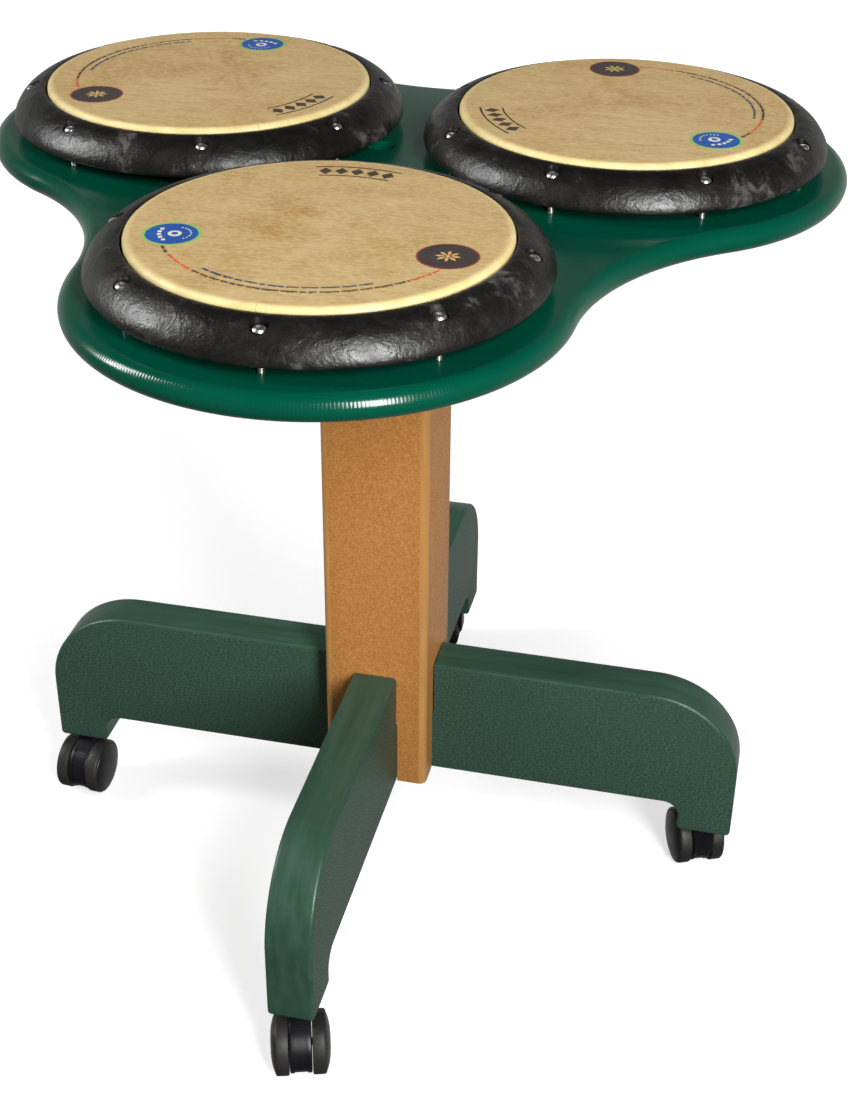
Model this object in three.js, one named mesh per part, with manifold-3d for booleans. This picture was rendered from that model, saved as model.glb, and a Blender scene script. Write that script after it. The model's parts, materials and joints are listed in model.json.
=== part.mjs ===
// Three-drum play table: shallow drums on a three-lobed plastic tabletop, a square post,
// two crossed plank legs and four twin-wheel casters. Millimetres, +Z up, floor at z = 0.
import * as THREE from "three";
import { mergeVertices } from "three/addons/utils/BufferGeometryUtils.js";
import Module from "manifold-3d";

// ---- driving dimensions --------------------------------------------------------------
const WHEEL_R = 25;
const FOOT_Z = 55.3; // underside of each foot, which is the casters' mounting height
const PLANK_H = 139.2; // full height of a leg plank, foot included
const PLANK_T = 37.5;
const FOOT_DROP = 27.5; // how far a foot hangs below the plank's underside
const FOOT_END = 310; // outer end of a leg from the post's axis
const FOOT_W = 46;
const LEG_END_R = 76; // rounding of the upper outer corner of a leg
const EDGE_R = 3;
const POST_W = 88.9;
const POST_CORNER_R = 6.35;
const LAP_Z = 145; // top of the slots in the post and floor of the notch in the planks
const TOP_Z = 618.8; // top face of the tabletop
const TOP_T = 19;
const PLATE_T = 5;
const PLATE_W = 150;
const LOBE_R = 171.5;
const WAIST_R = 200;
const DRUM_CIRCLE_R = 191.5; // drum centres from the post's axis
const TABLE_TWIST = 1.2; // degrees between the front lobe and the front leg
const DRUM_H = 36.5; // drumhead above the tabletop
const HEAD_R = 127.4;
const HOOP_R = 154.4;
const SCREW_CIRCLE_R = 140;
const SCREWS_PER_DRUM = 8;
const STEM_AT = 286; // caster stem from the post's axis
const TRAIL = 17.8; // wheel axle behind the stem's axis
const GAP = 0.3; // clearance between parts that touch
const ROUND = 32; // facets of a drum
const CASTER_YAW = { front: 197.4, right: 22.8, back: 93, left: 176.2 };
const LEG_DIRECTION = { front: [0, -1], right: [1, 0], back: [0, 1], left: [-1, 0] };
const RECESS = { x: -21, y: 69, r: 9, chamfer: 2, depth: 12 }; // blind hole in the tabletop

const HEAD_Z = TOP_Z + DRUM_H;
const LEG_TOP_Z = FOOT_Z + PLANK_H;
const LEG_UNDER_Z = FOOT_Z + FOOT_DROP;
const POST_TOP_Z = TOP_Z - TOP_T - PLATE_T - 2 * GAP;

const wasm = await Module();
wasm.setup();

// ---- helpers -------------------------------------------------------------------------
function toSolid(geometry) {
  const bare = geometry.index ? geometry.toNonIndexed() : geometry.clone();
  bare.deleteAttribute("normal");
  bare.deleteAttribute("uv");
  const merged = mergeVertices(bare, 1e-3);
  const mesh = new wasm.Mesh({
    numProp: 3,
    vertProperties: merged.attributes.position.array,
    triVerts: new Uint32Array(merged.index.array),
  });
  return new wasm.Manifold(mesh);
}

function toGeometry(solid) {
  const mesh = solid.getMesh();
  const geometry = new THREE.BufferGeometry();
  geometry.setAttribute("position", new THREE.BufferAttribute(mesh.vertProperties, 3));
  geometry.setIndex(new THREE.BufferAttribute(mesh.triVerts, 1));
  geometry.computeVertexNormals();
  return geometry;
}

function cut(geometry, tools) {
  return toGeometry(tools.reduce((rest, tool) => rest.subtract(toSolid(tool)), toSolid(geometry)));
}

function join(geometries) {
  return toGeometry(geometries.map(toSolid).reduce((whole, more) => whole.add(more)));
}

// A lathe turned about Z, from [radius, z] points that run anticlockwise in that plane.
function turned(points, segments) {
  const profile = points.map(([r, z]) => new THREE.Vector2(r, z));
  const geometry = new THREE.LatheGeometry(profile, segments);
  return geometry.rotateX(Math.PI / 2);
}

function rod(radius, z0, z1, segments, x = 0, y = 0) {
  const geometry = new THREE.CylinderGeometry(radius, radius, z1 - z0, segments);
  return geometry.rotateX(Math.PI / 2).translate(x, y, (z0 + z1) / 2);
}

function block(x0, x1, y0, y1, z0, z1) {
  const geometry = new THREE.BoxGeometry(x1 - x0, y1 - y0, z1 - z0);
  return geometry.translate((x0 + x1) / 2, (y0 + y1) / 2, (z0 + z1) / 2);
}

const paints = {
  green_sheet: [0x00583f, 0.35, 0],
  green_lumber: [0x3e5849, 0.75, 0],
  tan_lumber: [0xb27d3e, 0.75, 0],
  hoop_plastic: [0x1f1c1b, 0.35, 0],
  head_film: [0xcdb684, 0.45, 0],
  shell_plastic: [0x151515, 0.6, 0],
  stainless: [0xb9b9b5, 0.25, 1],
  zinc: [0x9a9a98, 0.4, 1],
  caster_nylon: [0x1c1c20, 0.4, 0],
  caster_tread: [0x3a3a38, 0.6, 0],
};

const assembly = new THREE.Group();

function add(name, geometry, paint, parent = assembly) {
  const [color, roughness, metalness] = paints[paint];
  const material = new THREE.MeshStandardMaterial({ color, roughness, metalness });
  const mesh = new THREE.Mesh(geometry, material);
  mesh.name = name;
  parent.add(mesh);
  return mesh;
}

// ---- tabletop ------------------------------------------------------------------------
const drumAngles = [-90, 30, 150].map((deg) => THREE.MathUtils.degToRad(deg + TABLE_TWIST));

function onCircle(radius, angle) {
  return [radius * Math.cos(angle), radius * Math.sin(angle)];
}

// Three lobes about the drum centres, joined by concave arcs tangent to both neighbours.
function trefoil() {
  const halfSpacing = DRUM_CIRCLE_R * Math.sin(Math.PI / 3);
  const reach = LOBE_R + WAIST_R;
  const waistAt = DRUM_CIRCLE_R / 2 + Math.sqrt(reach ** 2 - halfSpacing ** 2);
  const shape = new THREE.Shape();
  for (const angle of drumAngles) {
    const [x, y] = onCircle(DRUM_CIRCLE_R, angle);
    const [bx, by] = onCircle(waistAt, angle - Math.PI / 3);
    const [ax, ay] = onCircle(waistAt, angle + Math.PI / 3);
    const [nx, ny] = onCircle(DRUM_CIRCLE_R, angle + (2 * Math.PI) / 3);
    shape.absarc(x, y, LOBE_R, Math.atan2(by - y, bx - x), Math.atan2(ay - y, ax - x), false);
    shape.absarc(ax, ay, WAIST_R, Math.atan2(y - ay, x - ax), Math.atan2(ny - ay, nx - ax), true);
  }
  return shape;
}

const SCREW_R = 2.3;
const SCREW_HOLE_R = 2.9;
const SCREW_DEPTH = 15.5; // thread length inside the tabletop
const screwPlaces = [];
drumAngles.forEach((drumAngle, drum) => {
  const [cx, cy] = onCircle(DRUM_CIRCLE_R, drumAngle);
  for (let i = 0; i < SCREWS_PER_DRUM; i++) {
    const [dx, dy] = onCircle(SCREW_CIRCLE_R, drumAngle + (i * 2 * Math.PI) / SCREWS_PER_DRUM);
    screwPlaces.push({ drum, index: i + 1, x: cx + dx, y: cy + dy });
  }
});

const PLATE_SCREW_AT = 60;
const plateCorners = [[-1, -1], [1, -1], [1, 1], [-1, 1]];

function tabletop() {
  const nose = TOP_T / 2;
  const sheet = new THREE.ExtrudeGeometry(trefoil(), {
    depth: TOP_T - 2 * nose + 0.01,
    curveSegments: 12,
    bevelThickness: nose - 0.005,
    bevelSize: nose,
    bevelOffset: -nose,
    bevelSegments: 2,
  });
  sheet.translate(0, 0, TOP_Z - nose - 0.005);
  const holeTop = TOP_Z - SCREW_DEPTH - 1;
  const holes = screwPlaces.map(({ x, y }) => rod(SCREW_HOLE_R, holeTop, TOP_Z + 5, 6, x, y));
  const { x, y, r, chamfer, depth } = RECESS;
  const bevelled = [[0, -depth], [r, -depth], [r, -chamfer], [r + chamfer + 1, 1], [0, 1]];
  holes.push(turned(bevelled, 20).translate(x, y, TOP_Z));
  for (const [sx, sy] of plateCorners) {
    const under = TOP_Z - TOP_T;
    holes.push(rod(2.5, under - 5, under + 12.5, 8, sx * PLATE_SCREW_AT, sy * PLATE_SCREW_AT));
  }
  return cut(sheet, holes);
}
add("tabletop", tabletop(), "green_sheet");

// ---- drums ---------------------------------------------------------------------------
const LIP_R = 128.2; // bore of the hoop's lip, round the drumhead's collar
const BEAD_R = 131;
const HOOP_BOTTOM = -28.5;
const SEAT = -10; // floor of the screw recesses, below the playing face

// Film with a rounded collar and the stiff bead that the hoop's lip pulls down on.
function drumhead() {
  const profile = [
    [0, -1.3], [121, -1.3], [125.2, -3.6], [126.2, -17.5], [BEAD_R, -17.5],
    [BEAD_R, -12.2], [HEAD_R, -12.2], [126.6, -2.8], [123.5, 0], [0, 0],
  ];
  return turned(profile, ROUND);
}

// Ring that the film is stretched over. It stands on the tabletop.
function shell() {
  const foot = GAP - DRUM_H;
  return turned([[116, foot], [125, foot], [124.4, -4.4], [120.5, -1.7], [116, -5], [116, foot]], ROUND);
}

function hoop() {
  const profile = [
    [LIP_R, -11.8], [BEAD_R + 0.6, -11.8], [BEAD_R + 0.6, HOOP_BOTTOM], [152.3, HOOP_BOTTOM],
    [HOOP_R, -25], [153.4, -21], [150.7, -16], [146, -10], [139, -4.6], [130, -2.8],
    [LIP_R, -11.8],
  ];
  const tools = [];
  for (let i = 0; i < SCREWS_PER_DRUM; i++) {
    const [x, y] = onCircle(SCREW_CIRCLE_R, (i * 2 * Math.PI) / SCREWS_PER_DRUM);
    tools.push(rod(6, SEAT, 5, 10, x, y), rod(SCREW_HOLE_R, HOOP_BOTTOM - 5, 5, 6, x, y));
  }
  return cut(turned(profile, ROUND), tools);
}

// Button-head screw with a hexagon socket; its origin is on the seat under the head.
function hoopScrew() {
  const tip = TOP_Z - SCREW_DEPTH - (HEAD_Z + SEAT);
  const profile = [[0, tip], [SCREW_R, tip], [SCREW_R, GAP], [4.7, GAP], [4, 2.2], [0, 3.1]];
  return cut(turned(profile, 6), [rod(1.6, 1.5, 5, 6)]);
}

const headShape = drumhead();
const shellShape = shell();
const hoopShape = hoop();
const screwShape = hoopScrew();
drumAngles.forEach((angle, i) => {
  const drum = new THREE.Group();
  const [x, y] = onCircle(DRUM_CIRCLE_R, angle);
  drum.position.set(x, y, HEAD_Z);
  drum.rotation.z = angle;
  assembly.add(drum);
  add(`drumhead_${i + 1}`, headShape, "head_film", drum);
  add(`drum_shell_${i + 1}`, shellShape, "shell_plastic", drum);
  add(`hoop_${i + 1}`, hoopShape, "hoop_plastic", drum);
});
for (const { drum, index, x, y } of screwPlaces) {
  const screw = add(`hoop_screw_${drum + 1}_${index}`, screwShape, "stainless");
  screw.position.set(x, y, HEAD_Z + SEAT);
}

// ---- post and its plate --------------------------------------------------------------
function roundedSquare(width, radius) {
  const h = width / 2;
  const c = h - radius;
  const shape = new THREE.Shape();
  for (const [sx, sy, from] of [[1, -1, -0.5], [1, 1, 0], [-1, 1, 0.5], [-1, -1, 1]]) {
    shape.absarc(sx * c, sy * c, radius, from * Math.PI, (from + 0.5) * Math.PI, false);
  }
  return shape;
}

function post() {
  const solid = new THREE.ExtrudeGeometry(roundedSquare(POST_W, POST_CORNER_R), {
    depth: POST_TOP_Z - LEG_UNDER_Z,
    curveSegments: 4,
    bevelEnabled: false,
  });
  solid.translate(0, 0, LEG_UNDER_Z);
  const half = PLANK_T / 2 + 0.5;
  const slotTop = LAP_Z + GAP;
  return cut(solid, [
    block(-100, 100, -half, half, 0, slotTop),
    block(-half, half, -100, 100, 0, slotTop),
    rod(4.3, slotTop - 5, slotTop + 61, 10),
    rod(4.3, POST_TOP_Z - 61, POST_TOP_Z + 5, 10),
  ]);
}
add("post", post(), "tan_lumber");

function mountingPlate() {
  const sheet = new THREE.ExtrudeGeometry(roundedSquare(PLATE_W, 12), {
    depth: PLATE_T,
    curveSegments: 4,
    bevelEnabled: false,
  });
  sheet.translate(0, 0, POST_TOP_Z + GAP);
  const top = POST_TOP_Z + GAP + PLATE_T;
  const sink = turned([[0, -10], [4.5, -10], [4.5, -4], [9.1, 0.6], [0, 0.6]], 12);
  const corners = plateCorners.map(([x, y]) =>
    rod(2.8, top - 20, top + 20, 8, x * PLATE_SCREW_AT, y * PLATE_SCREW_AT));
  return cut(sheet, [sink.translate(0, 0, top), ...corners]);
}
add("mounting_plate", mountingPlate(), "zinc");

function panScrew() {
  return turned([[0, -3], [4.6, -2.4], [4.9, 0], [2.2, 0], [2.2, 17], [0, 17]], 10);
}
plateCorners.forEach(([x, y], i) => {
  const screw = add(`plate_screw_${i + 1}`, panScrew(), "zinc");
  screw.position.set(x * PLATE_SCREW_AT, y * PLATE_SCREW_AT, POST_TOP_Z);
});

// Countersunk bolt from the plate down into the top of the post.
const plateBolt = turned([[0, -60], [4, -60], [4, -3.9], [7.6, -0.3], [0, -0.3]], 10);
plateBolt.translate(0, 0, POST_TOP_Z + GAP + PLATE_T);
add("plate_bolt", plateBolt, "zinc");

// ---- crossed legs --------------------------------------------------------------------
const FILLET_R = 14; // between a foot's inner side and the plank's underside

// One arm's outline from the middle of the plank out to its foot, as [along, up].
function legShape() {
  const shape = new THREE.Shape();
  const inner = FOOT_END - FOOT_W;
  const toe = 4;
  shape.moveTo(-inner + FILLET_R, LEG_UNDER_Z);
  shape.lineTo(inner - FILLET_R, LEG_UNDER_Z);
  shape.absarc(inner - FILLET_R, LEG_UNDER_Z - FILLET_R, FILLET_R, Math.PI / 2, 0, true);
  shape.lineTo(inner, FOOT_Z);
  shape.absarc(FOOT_END - toe, FOOT_Z + toe, toe, -Math.PI / 2, 0, false);
  shape.absarc(FOOT_END - LEG_END_R, LEG_TOP_Z - LEG_END_R, LEG_END_R, 0, Math.PI / 2, false);
  shape.absarc(LEG_END_R - FOOT_END, LEG_TOP_Z - LEG_END_R, LEG_END_R, Math.PI / 2, Math.PI, false);
  shape.absarc(toe - FOOT_END, FOOT_Z + toe, toe, Math.PI, 1.5 * Math.PI, false);
  shape.lineTo(-inner, FOOT_Z);
  shape.absarc(-inner + FILLET_R, LEG_UNDER_Z - FILLET_R, FILLET_R, Math.PI, Math.PI / 2, true);
  return shape;
}

// lapSide is 1 on the plank that keeps its lower half at the crossing, -1 on the other.
function leg(lapSide) {
  const plank = new THREE.ExtrudeGeometry(legShape(), {
    depth: PLANK_T - 2 * EDGE_R,
    curveSegments: 5,
    bevelThickness: EDGE_R,
    bevelSize: EDGE_R,
    bevelOffset: -EDGE_R,
    bevelSegments: 1,
  });
  plank.translate(0, 0, EDGE_R - PLANK_T / 2).rotateX(Math.PI / 2);
  const notch = POST_W / 2 + 0.5;
  const lap = PLANK_T / 2 + 0.4;
  const middle = (LEG_UNDER_Z + LAP_Z) / 2;
  const [lapLow, lapHigh] = lapSide > 0 ? [middle, LAP_Z + 5] : [0, middle + GAP];
  const tools = [
    block(-notch, notch, -50, 50, LAP_Z, 300),
    block(-lap, lap, -50, 50, lapLow, lapHigh),
    rod(4.3, 0, 300, 10),
    rod(6, FOOT_Z - 5, FOOT_Z + 36, 16, STEM_AT, 0),
    rod(6, FOOT_Z - 5, FOOT_Z + 36, 16, -STEM_AT, 0),
  ];
  if (lapSide > 0) {
    tools.push(rod(12, 0, LEG_UNDER_Z + 8, 12));
  }
  return cut(plank, tools);
}
add("leg_left_right", leg(1), "green_lumber");
add("leg_front_back", leg(-1).rotateZ(Math.PI / 2), "green_lumber");

// Bolt up through the half-lap into the post; its flange head sits in a counterbore.
const legBolt = turned([[0, 0], [9, 0], [11, 2], [11, 6], [4, 6], [4, 115], [0, 115]], 12);
legBolt.translate(0, 0, LEG_UNDER_Z + 1.5);
add("leg_bolt", legBolt, "zinc");

// ---- casters -------------------------------------------------------------------------
const BODY_HALF = 8.7; // half the width of the body between the two wheels
const BODY_R = 23.4;
const WHEEL_IN = 9.2;
const BORE_R = 3.5;
const STEM_R = 5.5;

// Side outline of the body as [behind the stem, up]: a round cheek and the stem's boss.
function casterBody() {
  const shape = new THREE.Shape();
  shape.moveTo(-9, 26);
  shape.absarc(TRAIL, WHEEL_R, BODY_R, 1.1 * Math.PI, 2.35 * Math.PI, false);
  shape.lineTo(TRAIL + 1, WHEEL_R + BODY_R + 1.6);
  shape.lineTo(9, 53.2);
  shape.lineTo(-9, 53.2);
  const cheek = new THREE.ExtrudeGeometry(shape, {
    depth: 2 * BODY_HALF,
    curveSegments: 14,
    bevelEnabled: false,
  });
  cheek.translate(0, 0, -BODY_HALF).rotateX(Math.PI / 2).rotateZ(Math.PI / 2);
  const stem = turned(
    [[0, 40], [8.5, 40], [8.5, 54.8], [STEM_R, 54.8], [STEM_R, 88], [0, 88]], 12);
  const bore = rod(BORE_R, -20, 20, 12).rotateY(Math.PI / 2).translate(0, TRAIL, WHEEL_R);
  return cut(join([cheek, stem]), [bore]);
}

// Wheel about its own axle, with the outer side towards +Z; its bore is open on the inside.
function casterWheel() {
  const profile = [
    [0, 21.2], [BORE_R, 21.2], [BORE_R, WHEEL_IN], [WHEEL_R - 0.8, WHEEL_IN], [WHEEL_R, 10.2],
    [WHEEL_R, 18.4], [22.4, 20.6], [8, 23.5], [0, 23.5],
  ];
  return turned(profile, 24);
}

const bodyShape = casterBody();
const wheelShape = casterWheel();
for (const [place, [dx, dy]] of Object.entries(LEG_DIRECTION)) {
  const caster = new THREE.Group();
  caster.position.set(dx * STEM_AT, dy * STEM_AT, 0);
  caster.rotation.z = THREE.MathUtils.degToRad(CASTER_YAW[place]);
  assembly.add(caster);
  add(`caster_${place}_body`, bodyShape, "caster_nylon", caster);
  const axle = add(`caster_${place}_axle`, rod(3, -20.8, 20.8, 10), "zinc", caster);
  axle.rotation.y = Math.PI / 2;
  axle.position.set(0, TRAIL, WHEEL_R);
  for (const [side, turn] of [["a", 1], ["b", -1]]) {
    const wheel = add(`caster_${place}_wheel_${side}`, wheelShape, "caster_tread", caster);
    wheel.rotation.y = (turn * Math.PI) / 2;
    wheel.position.set(0, TRAIL, WHEEL_R);
  }
}

// ---- place the origin under the middle of the whole object ------------------------------
const extent = new THREE.Box3().setFromObject(assembly, true);
const centre = extent.getCenter(new THREE.Vector3());
assembly.position.set(-centre.x, -centre.y, -extent.min.z);

const table = new THREE.Group();
table.add(assembly);
export default table;
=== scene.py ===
"""Looks for a three-drum play table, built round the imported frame. Metres, +Z up."""
import json
import math
import random

import bmesh
import bpy
from mathutils import Matrix, Vector


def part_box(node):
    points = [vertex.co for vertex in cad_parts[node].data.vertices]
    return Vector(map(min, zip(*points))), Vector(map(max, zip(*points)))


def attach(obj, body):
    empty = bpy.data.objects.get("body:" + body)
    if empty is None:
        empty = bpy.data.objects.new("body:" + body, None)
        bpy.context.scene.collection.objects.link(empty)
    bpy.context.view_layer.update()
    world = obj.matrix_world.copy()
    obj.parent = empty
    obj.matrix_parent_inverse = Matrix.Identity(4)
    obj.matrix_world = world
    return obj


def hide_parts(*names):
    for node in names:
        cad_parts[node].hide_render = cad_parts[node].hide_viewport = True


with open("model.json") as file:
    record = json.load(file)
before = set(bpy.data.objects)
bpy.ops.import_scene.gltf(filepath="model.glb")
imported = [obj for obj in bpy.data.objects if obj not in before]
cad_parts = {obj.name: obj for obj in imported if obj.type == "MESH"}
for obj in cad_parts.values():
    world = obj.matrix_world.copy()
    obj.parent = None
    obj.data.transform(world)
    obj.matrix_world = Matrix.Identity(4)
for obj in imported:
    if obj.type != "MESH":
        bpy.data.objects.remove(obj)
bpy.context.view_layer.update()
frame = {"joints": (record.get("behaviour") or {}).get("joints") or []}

MM = 0.001
TURN = 2 * math.pi
dice = random.Random(7)


# ---- frame places --------------------------------------------------------------------
def middle(node):
    low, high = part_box(node)
    return (low + high) / 2


def joint(name):
    return next(j for j in frame["joints"] if j["name"] == name)


TOP_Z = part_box("tabletop")[1].z
TOP_T = TOP_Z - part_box("tabletop")[0].z
HEAD_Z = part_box("drumhead_1")[1].z
DRUM_H = HEAD_Z - TOP_Z
POST_AT = middle("post")
SCREWS_PER_DRUM = 8
PLACES = ("front", "right", "back", "left")


# ---- outlines ------------------------------------------------------------------------
def arc(centre, radius, start, end, step=math.radians(4)):
    """Points on a circle from angle start to angle end, both included."""
    count = max(2, math.ceil(abs(end - start) / step))
    angles = [start + (end - start) * i / count for i in range(count + 1)]
    return [Vector((centre[0] + radius * math.cos(a), centre[1] + radius * math.sin(a))) for a in angles]


def fillet(corners, closed=True, step=math.radians(7)):
    """A polyline through (x, y, radius) corners, each rounded to its own radius."""
    out = []
    count = len(corners)
    for i, (x, y, radius) in enumerate(corners):
        here = Vector((x, y))
        if radius == 0 or (not closed and i in (0, count - 1)):
            out.append(here)
            continue
        back = (Vector(corners[i - 1][:2]) - here).normalized()
        ahead = (Vector(corners[(i + 1) % count][:2]) - here).normalized()
        half = back.angle(ahead) / 2
        centre = here + (back + ahead).normalized() * (radius / math.sin(half))
        reach = radius / math.tan(half)
        a = here + back * reach - centre
        b = here + ahead * reach - centre
        start = math.atan2(a.y, a.x)
        sweep = (math.atan2(b.y, b.x) - start + math.pi) % TURN - math.pi
        out += arc(centre, radius, start, start + sweep, step)
    return out


def smooth_through(points, steps=8):
    """A Catmull-Rom curve through the points, its ends included."""
    pts = [Vector(p) for p in points]
    pts = [2 * pts[0] - pts[1], *pts, 2 * pts[-1] - pts[-2]]
    out = []
    for p0, p1, p2, p3 in zip(pts, pts[1:], pts[2:], pts[3:]):
        for k in range(steps):
            t = k / steps
            out.append(0.5 * (2 * p1 + (p2 - p0) * t + (2 * p0 - 5 * p1 + 4 * p2 - p3) * t * t
                              + (3 * p1 - p0 - 3 * p2 + p3) * t * t * t))
    return [*out, pts[-2]]


def normals_of(outline):
    """Outward mitred normals of a closed anticlockwise outline."""
    out = []
    for i, here in enumerate(outline):
        a = (here - outline[i - 1]).normalized()
        b = (outline[(i + 1) % len(outline)] - here).normalized()
        n = Vector((a.y + b.y, -a.x - b.x)).normalized()
        out.append(n / max(0.3, n.dot(Vector((a.y, -a.x)))))
    return out


# ---- solids --------------------------------------------------------------------------
def bridge(bm, low, high, uv=None, s=None, v=(0, 1)):
    """Quads between two rings of vertices; either ring may be a single point."""
    faces = []
    count = max(len(low), len(high))
    for i in range(count):
        j = (i + 1) % count
        ring = [low[i % len(low)], low[j % len(low)], high[j % len(high)], high[i % len(high)]]
        corners = [c for k, c in enumerate(ring) if c not in ring[:k]]
        face = bm.faces.new(corners)
        faces.append(face)
        if uv:
            along = {0: s[i], 1: s[i + 1]}
            for loop in face.loops:
                k = ring.index(loop.vert)
                loop[uv].uv = (along[1 if k in (1, 2) else 0], v[0] if k < 2 else v[1])
    return faces


def lathe(profile, segments=96, kinds=None):
    """A closed surface of revolution about Z from (radius, z) points.
    The profile starts and ends on the axis, or its last point is its first.
    kinds, if given, is the material index of each stretch between two points.
    The UV map holds (turn, distance along the profile)."""
    bm = bmesh.new()
    uv = bm.loops.layers.uv.new("UVMap")
    loops = (Vector(profile[0]) - Vector(profile[-1])).length < 1e-9
    turns = [i / segments for i in range(segments + 1)]

    def ring(radius, z):
        if radius < 1e-7:
            return [bm.verts.new((0, 0, z))]
        return [bm.verts.new((radius * math.cos(TURN * t), radius * math.sin(TURN * t), z))
                for t in turns[:-1]]

    rings = [ring(*p) for p in (profile[:-1] if loops else profile)]
    if loops:
        rings.append(rings[0])
    travelled = 0.0
    for i in range(len(profile) - 1):
        length = (Vector(profile[i + 1]) - Vector(profile[i])).length
        faces = bridge(bm, rings[i], rings[i + 1], uv, turns, (travelled, travelled + length))
        for face in faces:
            face.material_index = kinds[i] if kinds else 0
        travelled += length
    bmesh.ops.recalc_face_normals(bm, faces=bm.faces)
    return bm


def slab(outline, z0, z1, edge, steps=5, holes=()):
    """A plate between z0 and z1 whose edges are rounded by the radius edge.
    holes are outlines of openings left in its top face, each with walls down to its own floor."""
    bm = bmesh.new()
    uv = bm.loops.layers.uv.new("UVMap")
    normals = normals_of(outline)
    lengths = [0.0]
    for i, here in enumerate(outline):
        lengths.append(lengths[-1] + (outline[(i + 1) % len(outline)] - here).length)
    quarter = [math.pi / 2 * k / steps for k in range(steps + 1)]
    levels = [(edge * (1 - math.sin(q)), z0 + edge * (1 - math.cos(q))) for q in quarter]
    levels += [(edge * (1 - math.cos(q)), z1 - edge * (1 - math.sin(q))) for q in quarter]
    if abs(z1 - z0 - 2 * edge) < 1e-9:
        levels.pop(steps)
    rings = [[bm.verts.new((*(p - n * inset), z)) for p, n in zip(outline, normals)]
             for inset, z in levels]
    for k in range(len(rings) - 1):
        bridge(bm, rings[k], rings[k + 1], uv, lengths, (levels[k][1], levels[k + 1][1]))
    bm.faces.new(list(reversed(rings[0])))
    if not holes:
        bm.faces.new(rings[-1])
    else:
        mouths = []
        for rounds in holes:
            loops = [[bm.verts.new((*p, z)) for p in pts] for pts, z in rounds]
            for a, b in zip(loops, loops[1:]):
                bridge(bm, a, b)
            bm.faces.new(loops[-1])
            mouths.append(loops[0])
        edges = []
        for loop in (rings[-1], *mouths):
            for i, vert in enumerate(loop):
                following = loop[(i + 1) % len(loop)]
                edges.append(bm.edges.get((vert, following)) or bm.edges.new((vert, following)))
        bmesh.ops.triangle_fill(bm, use_beauty=True, edges=edges)
    bmesh.ops.recalc_face_normals(bm, faces=bm.faces)
    return bm


def mesh_from(bm, name):
    mesh = bpy.data.meshes.new(name)
    bm.to_mesh(mesh)
    bm.free()
    return mesh


def merged(*solids):
    """One bmesh holding several, for cutters that don't touch."""
    bm = bmesh.new()
    for solid in solids:
        mesh = mesh_from(solid, "part")
        bm.from_mesh(mesh)
        bpy.data.meshes.remove(mesh)
    return bm


def moved(bm, matrix):
    bmesh.ops.transform(bm, matrix=matrix, verts=bm.verts)
    return bm


SPECK = 0.002 * MM


def carve(bm, tool, operation="DIFFERENCE"):
    """The solid after an exact boolean with the tool, without the collapsed faces that one leaves."""
    body = bpy.data.objects.new("body", mesh_from(bm, "body"))
    cutter = bpy.data.objects.new("cutter", mesh_from(tool, "cutter"))
    for o in (body, cutter):
        bpy.context.scene.collection.objects.link(o)
    modifier = body.modifiers.new("cut", "BOOLEAN")
    modifier.operation = operation
    modifier.solver = "EXACT"
    modifier.object = cutter
    depsgraph = bpy.context.evaluated_depsgraph_get()
    result = bmesh.new()
    result.from_mesh(body.evaluated_get(depsgraph).to_mesh())
    for o in (body, cutter):
        mesh = o.data
        bpy.data.objects.remove(o)
        bpy.data.meshes.remove(mesh)
    bmesh.ops.remove_doubles(result, verts=result.verts, dist=SPECK)
    bmesh.ops.dissolve_degenerate(result, edges=result.edges, dist=SPECK)
    bmesh.ops.triangulate(result, faces=[f for f in result.faces if len(f.verts) > 4])
    bmesh.ops.dissolve_degenerate(result, edges=result.edges, dist=SPECK)
    return result


def rod(radius, z0, z1, segments=40, at=(0, 0)):
    bm = lathe([(0, z0), (radius, z0), (radius, z1), (0, z1)], segments)
    return moved(bm, Matrix.Translation((*at, 0)))


def block(x0, x1, y0, y1, z0, z1):
    bm = bmesh.new()
    bmesh.ops.create_cube(bm, size=1)
    centre = Vector((x0 + x1, y0 + y1, z0 + z1)) / 2
    return moved(bm, Matrix.Translation(centre) @ Matrix.Diagonal((x1 - x0, y1 - y0, z1 - z0, 1)))


def piece(name, source, materials, body, stands_for=(), at=None, crease=35):
    """Makes an object of a bmesh, or of a mesh that several objects share, and puts it on a CAD body."""
    mesh = source
    if isinstance(source, bmesh.types.BMesh):
        mesh = mesh_from(source, name)
        mesh.polygons.foreach_set("use_smooth", [True] * len(mesh.polygons))
        mesh.set_sharp_from_angle(angle=math.radians(crease))
        for material in materials:
            mesh.materials.append(material)
    made = bpy.data.objects.new(name, mesh)
    made.matrix_world = at or Matrix.Identity(4)
    bpy.context.scene.collection.objects.link(made)
    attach(made, body)
    if stands_for:
        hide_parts(*stands_for)
    return made


# ---- materials -----------------------------------------------------------------------
def linear(red, green, blue):
    """Scene-linear colour of 8-bit display values."""
    return tuple(c / 12.92 if c <= 0.04045 else ((c + 0.055) / 1.055) ** 2.4
                 for c in (red / 255, green / 255, blue / 255)) + (1,)


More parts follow.
